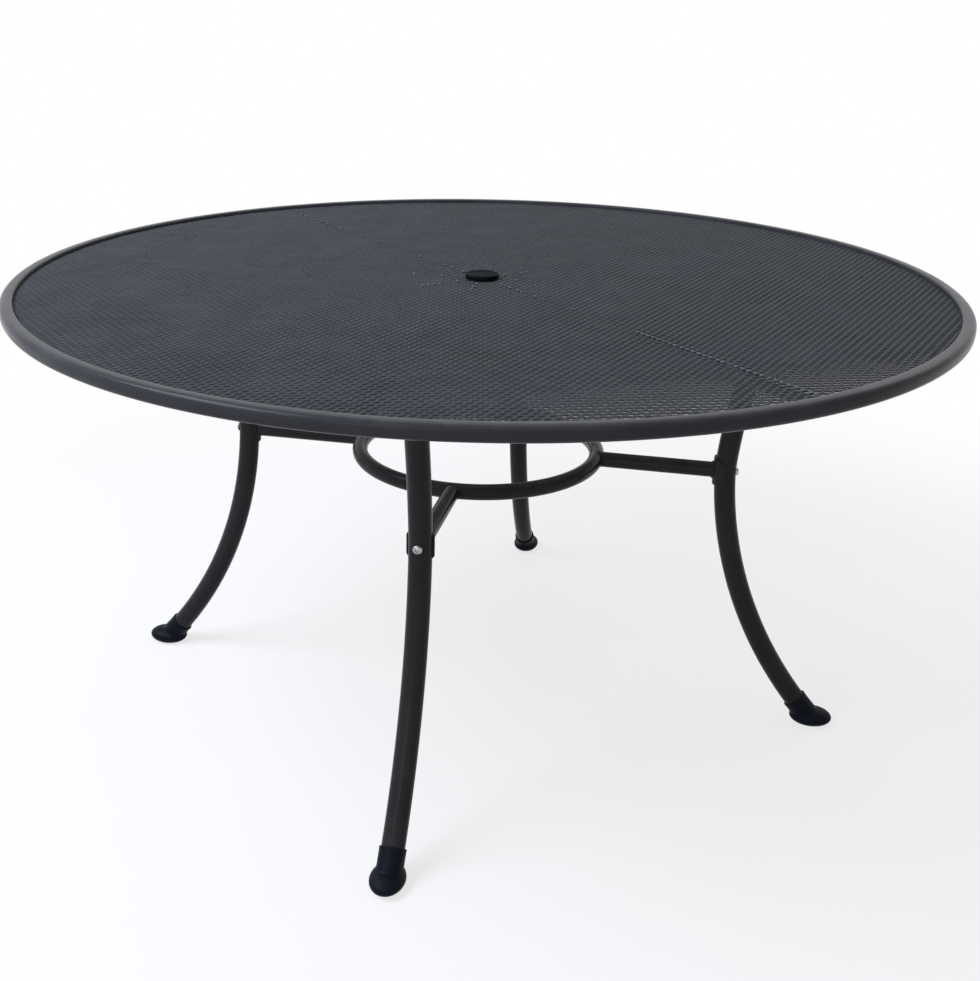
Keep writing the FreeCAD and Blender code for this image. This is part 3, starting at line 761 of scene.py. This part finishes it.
def make_rim_section(rim):
    """Outline of the rim tube on the X side, with its corners rounded."""
    middle = (rim.radius - rim.width / 2, 0, rim.top - rim.depth / 2)
    inside = rim.radius - rim.width
    deselect()
    bpy.ops.mesh.primitive_plane_add(size=1, location=middle, rotation=(QUARTER, 0, 0))
    tube = named("rim_tube_round")
    tube.scale = (rim.width, rim.depth, 1)
    settle(tube)
    pick(tube, "vertices", lambda v: v.co.x > middle[0])
    bpy.ops.mesh.bevel(affect="VERTICES", offset=rim.outer_corner, segments=7)
    leave()
    pick(tube, "vertices", lambda v: v.co.x < inside + rim.inner_corner / 2)
    bpy.ops.mesh.bevel(affect="VERTICES", offset=rim.inner_corner, segments=4)
    bpy.ops.mesh.select_all(action="SELECT")
    bpy.ops.mesh.delete(type="ONLY_FACE")
    leave()
    return tube


class TABLE_OT_rim(bpy.types.Operator):
    """Makes the rounded tube round the table top"""
    bl_idname = "umbrella_table.rim"
    bl_label = "Rim tube"

    def execute(self, context):
        tube = make_rim_section(sizes("rim"))
        edit_whole(tube)
        bpy.ops.mesh.spin(steps=256, angle=ROUND, center=(0, 0, 0), axis=(0, 0, 1))
        leave()
        merge_doubles(tube)
        smooth(tube, 60)
        tint = sizes("colours").rim
        coating = coated_steel("rim_coating", tint, roughness=0.20, specular=0.06, peel=0.08)
        finish_piece(tube, "table", coating, ["rim_tube"])
        return {"FINISHED"}


# Plug

def make_plug_body(plug):
    """Flange with a hollow skirt under it."""
    middle = plug.seat_height + plug.flange_height / 2
    deselect()
    bpy.ops.mesh.primitive_cylinder_add(
        vertices=96, radius=plug.flange_radius, depth=plug.flange_height, location=(0, 0, middle)
    )
    cap = named("umbrella_plug_cap")
    settle(cap)
    pick(cap, "faces", lambda face: face.normal.z < -LEVEL)
    bpy.ops.mesh.inset(thickness=plug.flange_radius - plug.skirt_radius)
    bpy.ops.mesh.extrude_region_move(TRANSFORM_OT_translate={"value": (0, 0, -plug.skirt_length)})
    bpy.ops.mesh.inset(thickness=plug.wall)
    hollow_depth = plug.skirt_length + plug.flange_height - plug.wall
    bpy.ops.mesh.extrude_region_move(TRANSFORM_OT_translate={"value": (0, 0, hollow_depth)})
    leave()
    return cap


def shape_plug_top(cap, plug):
    """Sink the middle of the flange, inside a flat border, and round the outer edge."""
    top = plug.seat_height + plug.flange_height
    pick(cap, "faces", lambda face: face.normal.z > LEVEL and abs(face.center.z - top) < CLOSE)
    bpy.ops.mesh.inset(thickness=plug.edge_rounding + plug.border)
    bpy.ops.mesh.inset(thickness=plug.step_width)
    bpy.ops.transform.translate(value=(0, 0, -plug.step_depth))
    leave()
    pick_edges(cap, lambda a, b: abs(a.z - top) < CLOSE and abs(b.z - top) < CLOSE
               and min(a.xy.length, b.xy.length) > plug.flange_radius - CLOSE)
    bpy.ops.mesh.bevel(offset=plug.edge_rounding, segments=5)
    leave()


def round_plug_lips(cap, plug):
    """Round the level edges of the skirt and of the flange's underside."""
    hollow_radius = plug.skirt_radius - plug.wall
    pick_edges(cap, lambda a, b: abs(a.z - b.z) < CLOSE and a.z < plug.seat_height + CLOSE
               and min(a.xy.length, b.xy.length) > hollow_radius - CLOSE)
    bpy.ops.mesh.bevel(offset=plug.lip_rounding, segments=2)
    leave()


class TABLE_OT_plug(bpy.types.Operator):
    """Makes the moulded plug in the umbrella hole"""
    bl_idname = "umbrella_table.plug"
    bl_label = "Umbrella plug"

    def execute(self, context):
        plug = sizes("plug")
        cap = make_plug_body(plug)
        shape_plug_top(cap, plug)
        round_plug_lips(cap, plug)
        merge_doubles(cap)
        smooth(cap, 40)
        plastic = moulded_plastic("plug_plastic", sizes("colours").plug, roughness=0.6, specular=0.015)
        finish_piece(cap, "plug", plastic, ["umbrella_plug"])
        return {"FINISHED"}


# Boots

SLEEVE_FOOT = 14 * MM  # height at which the sleeve starts, inside the pad
LIP_DROP = 1.4 * MM  # depth of the lip's middle below the sleeve's end
LIP_SINK = 0.5 * MM  # depth of the lip's middle under the sleeve's skin
LIP_RADIUS = 1.2 * MM
HEEL_HEIGHT = 20 * MM
PAD_UNDER = 9 * MM  # the pad's middle lies under the leg's axis at this height
PAD_SHIFT = 1 * MM  # and this far out from it
BORE_FLOOR = 19.7 * MM
BORE_TOP = 75 * MM
BORE_ROOM = 0.3 * MM


def arc_angle(height):
    """Angle of the leg's lower bend where its axis passes a height."""
    leg = sizes("leg")
    return math.asin((leg.arc_z - height) / leg.arc_radius)


def arc_place(height):
    leg = sizes("leg")
    return Vector((leg.arc_x - leg.arc_radius * math.cos(arc_angle(height)), 0, height))


def bent_stretch(name, low, high, radius):
    """Round bar that follows the leg's lower bend between two heights, along +X."""
    leg = sizes("leg")
    start = arc_angle(low)
    deselect()
    bpy.ops.mesh.primitive_circle_add(
        vertices=48, radius=radius, fill_type="NGON", location=arc_place(low), rotation=(0, -start, 0)
    )
    bar = named(name)
    settle(bar)
    edit_whole(bar)
    sweep = start - arc_angle(high)
    bpy.ops.mesh.spin(steps=14, angle=sweep, center=(leg.arc_x, 0, leg.arc_z), axis=(0, -1, 0))
    leave()
    return bar


def make_boot_lip(top, outside):
    height = top - LIP_DROP
    bpy.ops.mesh.primitive_torus_add(
        major_radius=outside - LIP_SINK, minor_radius=LIP_RADIUS, major_segments=64, minor_segments=12,
        location=arc_place(height), rotation=(0, -arc_angle(height), 0),
    )
    return named("boot_lip")


def make_boot_heel(outside):
    place = arc_place(HEEL_HEIGHT)
    bpy.ops.mesh.primitive_uv_sphere_add(segments=48, ring_count=24, radius=outside, location=place)
    return named("boot_heel")


def make_boot_pad(boot):
    place = (arc_place(PAD_UNDER).x + PAD_SHIFT, 0, boot.pad_middle)
    bpy.ops.mesh.primitive_uv_sphere_add(segments=64, ring_count=32, radius=1, location=place)
    pad = named("boot_pad")
    pad.scale = (boot.pad_length / 2, boot.pad_width / 2, boot.pad_height / 2)
    return pad


def make_boot_solid():
    """Forms of the boot, joined by a remesh: sleeve, lip, rounded heel and egg-shaped pad."""
    boot = sizes("boot")
    outside = sizes("leg").tube_radius + boot.wall
    sleeve = bent_stretch("boot_sleeve", SLEEVE_FOOT, boot.top, outside)
    forms = [sleeve, make_boot_lip(boot.top, outside), make_boot_heel(outside), make_boot_pad(boot)]
    for form in forms:
        settle(form)
        merge_doubles(form)
    solid = join(forms, "boot_solid")
    apply_modifier(solid, "REMESH", mode="VOXEL", voxel_size=boot.grain)
    apply_modifier(solid, "SMOOTH", factor=0.5, iterations=5)
    for vertex in solid.data.vertices:
        vertex.co.z = max(vertex.co.z, 0.0)
    return solid


class TABLE_OT_boots(bpy.types.Operator):
    """Makes the rubber boots on the ends of the legs"""
    bl_idname = "umbrella_table.boots"
    bl_label = "Rubber boots"

    def execute(self, context):
        solid = make_boot_solid()
        bore_radius = sizes("leg").tube_radius + BORE_ROOM
        bore = bent_stretch("boot_bore", BORE_FLOOR, BORE_TOP, bore_radius)
        merge_doubles(bore)
        cut_with(solid, bore)
        smooth(solid, 50)
        boots = join(repeat_round(solid, LEG_TURNS, "boot_copy"), "leg_boots")
        rubber = moulded_plastic("boot_rubber", sizes("colours").boot, roughness=0.45, specular=0.065)
        finish_piece(boots, "table", rubber, ["boots"])
        return {"FINISHED"}


# Bolts

HEAD_CUT = 0.4 * MM  # height in the dome at which the head's flat side is cut
SHANK_TOP = 0.5 * MM  # height of the shank's upper end, inside the head
SHANK_CHAMFER = 0.7 * MM
BOLT_OFF_TUBE = 0.3 * MM


def make_bolt_head(bolt):
    """Dome along Z with a flat underside and a hexagon socket."""
    deselect()
    bpy.ops.mesh.primitive_uv_sphere_add(segments=48, ring_count=24, radius=bolt.head_radius)
    head = named("bolt_head")
    head.scale.z = bolt.head_height / bolt.head_radius
    settle(head)
    edit_whole(head)
    bpy.ops.mesh.bisect(
        plane_co=(0, 0, HEAD_CUT), plane_no=(0, 0, -1), clear_outer=True, use_fill=True
    )
    leave()
    bpy.ops.mesh.primitive_cylinder_add(
        vertices=6, radius=bolt.socket_radius, depth=2 * bolt.socket_depth,
        location=(0, 0, bolt.head_height),
    )
    cut_with(head, named("bolt_socket"))
    return head


def make_bolt_shank(bolt):
    middle = SHANK_TOP - bolt.shank_length / 2
    deselect()
    bpy.ops.mesh.primitive_cylinder_add(
        vertices=48, radius=bolt.shank_radius, depth=bolt.shank_length, location=(0, 0, middle)
    )
    shank = named("bolt_shank")
    pick_edges(shank, lambda a, b: max(a.z, b.z) < 0 and abs(a.z - b.z) < CLOSE)
    bpy.ops.mesh.bevel(offset=SHANK_CHAMFER, segments=1)
    leave()
    settle(shank)
    return shank


class TABLE_OT_bolts(bpy.types.Operator):
    """Makes the dome-headed bolts through the legs"""
    bl_idname = "umbrella_table.bolts"
    bl_label = "Leg bolts"

    def execute(self, context):
        leg = sizes("leg")
        bolt = sizes("bolt")
        head = make_bolt_head(bolt)
        made = join([head, make_bolt_shank(bolt)], "leg_bolt")
        made.rotation_euler.y = QUARTER
        made.location = (leg.joint_radius + leg.tube_radius + BOLT_OFF_TUBE, 0, leg.joint_height)
        settle(made)
        smooth(made, 35)
        bolts = join(repeat_round(made, LEG_TURNS, "bolt_copy"), "leg_bolts_domed")
        finish_piece(bolts, "table", zinc_finish(), ["leg_bolts"])
        return {"FINISHED"}


# Weld beads

STRUT_RIPPLES = 22  # ripples round one bead
BAR_RIPPLES = 15
RIPPLE_SHARE = 0.16  # of the bead's radius
UNEVEN_SHARE = 0.08  # of the bead's radius
SADDLE_DEPTH = 3.3 * MM  # from the leg's tube to the saddle's outside
TUBE_MARGIN = 1.02  # widens a tube a little, so that a bead as wide as the tube stays on it
BEAD_OFF_RIM = 0.5 * MM


def make_bead(loop_radius, shift, ripples):
    """Weld bead round a tube along X, shifted along X to follow the surface that it meets."""
    deselect()
    bpy.ops.mesh.primitive_torus_add(
        major_radius=loop_radius, minor_radius=sizes("leg").bead_radius,
        major_segments=96, minor_segments=8, rotation=(0, QUARTER, 0),
    )
    bead = named("weld_bead")
    settle(bead)
    for vertex in bead.data.vertices:
        turn = math.atan2(vertex.co.z, vertex.co.y)
        middle = Vector((0, loop_radius * math.cos(turn), loop_radius * math.sin(turn)))
        swell = 1 + RIPPLE_SHARE * math.sin(ripples * turn) + UNEVEN_SHARE * math.sin(3 * turn + 1)
        vertex.co = middle + (vertex.co - middle) * swell
        vertex.co.x += shift(middle.y, middle.z)
    return bead


def hollow(radius, across):
    """Depth of a round surface below its crest, at a distance across."""
    return radius - math.sqrt(max(radius * radius - across * across, 0.0))


def make_strut_beads(leg):
    """Beads at both ends of the struts, on the leg ring's tube and on the saddles."""
    tube = leg.small_tube_radius
    ring_outside = leg.ring_radius + tube
    saddle = leg.tube_radius + SADDLE_DEPTH
    saddle_crest = leg.joint_radius - saddle
    ring_bead = make_bead(
        tube, lambda y, z: ring_outside - hollow(tube * TUBE_MARGIN, z), STRUT_RIPPLES
    )
    saddle_bead = make_bead(tube, lambda y, z: saddle_crest + hollow(saddle, y), STRUT_RIPPLES)
    beads = repeat_round(ring_bead, LEG_TURNS, "bead")
    beads += repeat_round(saddle_bead, LEG_TURNS, "bead")
    welds = join(beads, "strut_weld_beads")
    welds.location.z = leg.joint_height
    settle(welds)
    return welds


def make_bar_beads(leg, rim):
    """Beads at both ends of the bars, on the hub's round outside and the rim's inner wall."""
    bar = leg.bar_radius
    hub = leg.hub_radius
    inside = rim.radius - rim.width
    hub_bead = make_bead(bar, lambda y, z: hub - hollow(hub, y), BAR_RIPPLES)
    rim_bead = make_bead(bar, lambda y, z: inside - BEAD_OFF_RIM - hollow(inside, y), BAR_RIPPLES)
    beads = []
    for bead in (hub_bead, rim_bead):
        bead.data.transform(Matrix.Translation((0, 0, leg.bar_height)))
        beads += repeat_round(bead, BAR_TURNS, "bead")
    return join(beads, "bar_weld_beads")


class TABLE_OT_welds(bpy.types.Operator):
    """Makes the weld beads at the ends of the struts and the bars"""
    bl_idname = "umbrella_table.welds"
    bl_label = "Weld beads"

    def execute(self, context):
        leg = sizes("leg")
        for welds in (make_strut_beads(leg), make_bar_beads(leg, sizes("rim"))):
            smooth(welds, 60)
            finish_piece(welds, "table", shaded_steel_finish())
        return {"FINISHED"}


# Finish of the carried-over pieces

class TABLE_OT_finish(bpy.types.Operator):
    """Gives the carried-over steel and nuts their finishes; the steel's darker colour holds painted
    shade
    """
    bl_idname = "umbrella_table.finish"
    bl_label = "Steel finishes"

    def execute(self, context):
        steel_names = [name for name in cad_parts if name.startswith(STEEL_STARTS)]
        for name in steel_names:
            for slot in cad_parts[name].material_slots:
                slot.material = shaded_steel_finish()
        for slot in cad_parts["leg_nuts"].material_slots:
            slot.material = zinc_finish()
        return {"FINISHED"}


# Stage

WHITE = (1, 1, 1, 1)
FLOOR_GREY = (0.82, 0.82, 0.82, 1)
SHADOW_SHARE = 0.72  # how white the floor is under the table, where shadows show
SHADOW_PART = 0.4  # part of the clear radius up to which it is no whiter
WORLD_LIGHT = 0.28

Lamp = namedtuple("Lamp", "name place target width height power tint")
LAMPS = (
    Lamp("lamp_left", (-2.0, -1.3, 2.9), (-0.2, -0.5, 0.7), 2.2, 1.2, 140, (0.8, 0.84, 1)),
    Lamp("lamp_far_left", (-0.8, 1.3, 3.1), (-0.4, -0.3, 0.7), 1.2, 1.2, 12, (0.75, 0.87, 1)),
    Lamp("lamp_above", (0.6, 0.8, 3.8), (0, 0, 0.7), 2.8, 2.8, 20, (1, 1, 1)),
    Lamp("lamp_back", (1.7, 2.2, 2.6), (0.6, 0, 0.7), 1.8, 1.4, 7, (1, 1, 1)),
    Lamp("lamp_front", (-0.6, -3.8, 1.6), (0, 0, 0.3), 1.6, 1.6, 16, (1, 1, 1)),
)


def seen_by_eye_or_mirror(tree):
    """1 for rays from the camera, off gloss and through glass, and 0 for those that light things."""
    rays = add_node(tree, "ShaderNodeLightPath").outputs
    seen = add_math(tree, "MAXIMUM", rays["Is Camera Ray"], rays["Is Glossy Ray"])
    return add_math(tree, "MAXIMUM", seen, rays["Is Transmission Ray"])


def stage_floor_material(clear_radius):
    """Pale floor that keeps soft shadows near the table and is plain white further out."""
    material = bpy.data.materials.new("stage_floor")
    material.use_nodes = True
    tree = material.node_tree
    tree.nodes.clear()
    place = add_node(tree, "ShaderNodeTexCoord").outputs["Object"]
    distance = add_node(tree, "ShaderNodeVectorMath", operation="LENGTH")
    tree.links.new(place, distance.inputs[0])
    near = clear_radius * SHADOW_PART
    whiteness = add_range(tree, distance.outputs["Value"], near, clear_radius, SHADOW_SHARE, 1.0)
    diffuse = add_node(tree, "ShaderNodeBsdfDiffuse")
    diffuse.inputs["Color"].default_value = FLOOR_GREY
    white = add_node(tree, "ShaderNodeEmission")
    white.inputs["Color"].default_value = WHITE
    mix = add_node(tree, "ShaderNodeMixShader")
    whiteness = add_math(tree, "MULTIPLY", whiteness, seen_by_eye_or_mirror(tree))
    tree.links.new(whiteness, mix.inputs["Fac"])
    tree.links.new(diffuse.outputs["BSDF"], mix.inputs[1])
    tree.links.new(white.outputs["Emission"], mix.inputs[2])
    output = add_node(tree, "ShaderNodeOutputMaterial")
    tree.links.new(mix.outputs["Shader"], output.inputs["Surface"])
    return material


def make_floor(stage):
    deselect()
    bpy.ops.mesh.primitive_plane_add(size=2 * stage.floor_reach)
    floor = named("stage_floor")
    floor.data.materials.append(stage_floor_material(stage.clear_radius))


def make_world():
    """Even grey light, which the camera and reflections see as white."""
    world = bpy.data.worlds.new("stage_world")
    world.use_nodes = True
    bpy.context.scene.world = world
    tree = world.node_tree
    tree.nodes.clear()
    light = add_node(tree, "ShaderNodeBackground")
    light.inputs["Color"].default_value = WHITE
    strength = add_range(tree, seen_by_eye_or_mirror(tree), 0.0, 1.0, WORLD_LIGHT, 1.0)
    tree.links.new(strength, light.inputs["Strength"])
    output = add_node(tree, "ShaderNodeOutputWorld")
    tree.links.new(light.outputs["Background"], output.inputs["Surface"])


def make_lamp(lamp):
    data = bpy.data.lights.new(lamp.name, "AREA")
    data.color = lamp.tint
    data.shape = "RECTANGLE"
    data.size = lamp.width
    data.size_y = lamp.height
    data.energy = lamp.power
    made = bpy.data.objects.new(lamp.name, data)
    made.location = lamp.place
    aim = Vector(lamp.target) - Vector(lamp.place)
    made.rotation_euler = aim.to_track_quat("-Z", "Y").to_euler()
    bpy.context.collection.objects.link(made)


def make_camera(stage):
    data = bpy.data.cameras.new("photo_view")
    data.lens = stage.lens
    data.sensor_width = stage.sensor
    data.shift_x = stage.shift_x
    data.shift_y = stage.shift_y
    camera = bpy.data.objects.new("photo_view", data)
    turn = Matrix.Rotation(stage.heading, 4, "Z")
    turn = turn @ Matrix.Rotation(QUARTER - stage.pitch, 4, "X")
    turn = turn @ Matrix.Rotation(stage.roll, 4, "Z")
    camera.location = stage.camera_place
    camera.rotation_euler = turn.to_euler()
    bpy.context.collection.objects.link(camera)
    return camera


class TABLE_OT_stage(bpy.types.Operator):
    """Makes the floor, the lamps, the world and the camera"""
    bl_idname = "umbrella_table.stage"
    bl_label = "Stage"

    def execute(self, context):
        stage = sizes("stage")
        make_floor(stage)
        make_world()
        for lamp in LAMPS:
            make_lamp(lamp)
        context.scene.camera = make_camera(stage)
        context.scene.view_settings.view_transform = "Standard"
        return {"FINISHED"}


# Panel and registration

OPERATORS = (
    TABLE_OT_mesh_top,
    TABLE_OT_seam_welds,
    TABLE_OT_rim,
    TABLE_OT_plug,
    TABLE_OT_boots,
    TABLE_OT_bolts,
    TABLE_OT_welds,
    TABLE_OT_finish,
    TABLE_OT_stage,
)

GROUPS = {
    "mesh": MeshTopSizes,
    "rim": RimSizes,
    "plug": PlugSizes,
    "leg": LegSizes,
    "boot": BootSizes,
    "bolt": BoltSizes,
    "colours": FinishColours,
    "stage": StageSizes,
}


class TABLE_PT_panel(bpy.types.Panel):
    """Lists the pieces and their sizes"""
    bl_idname = "TABLE_PT_panel"
    bl_label = "Umbrella Table"
    bl_space_type = "VIEW_3D"
    bl_region_type = "UI"
    bl_category = "Umbrella Table"

    def draw(self, context):
        for operator in OPERATORS:
            self.layout.operator(operator.bl_idname)
        for name, group in GROUPS.items():
            box = self.layout.box()
            box.label(text=name.title())
            for size in group.__annotations__:
                box.prop(sizes(name), size)


def register():
    for item in (*GROUPS.values(), *OPERATORS, TABLE_PT_panel):
        bpy.utils.register_class(item)
    for name, group in GROUPS.items():
        setattr(bpy.types.Scene, "umbrella_table_" + name, PointerProperty(type=group))


def unregister():
    for name in GROUPS:
        delattr(bpy.types.Scene, "umbrella_table_" + name)
    for item in reversed((*GROUPS.values(), *OPERATORS, TABLE_PT_panel)):
        bpy.utils.unregister_class(item)


def main():
    register()
    for operator in OPERATORS:
        prefix, name = operator.bl_idname.split(".")
        getattr(getattr(bpy.ops, prefix), name)()


if __name__ == "__main__":
    main()
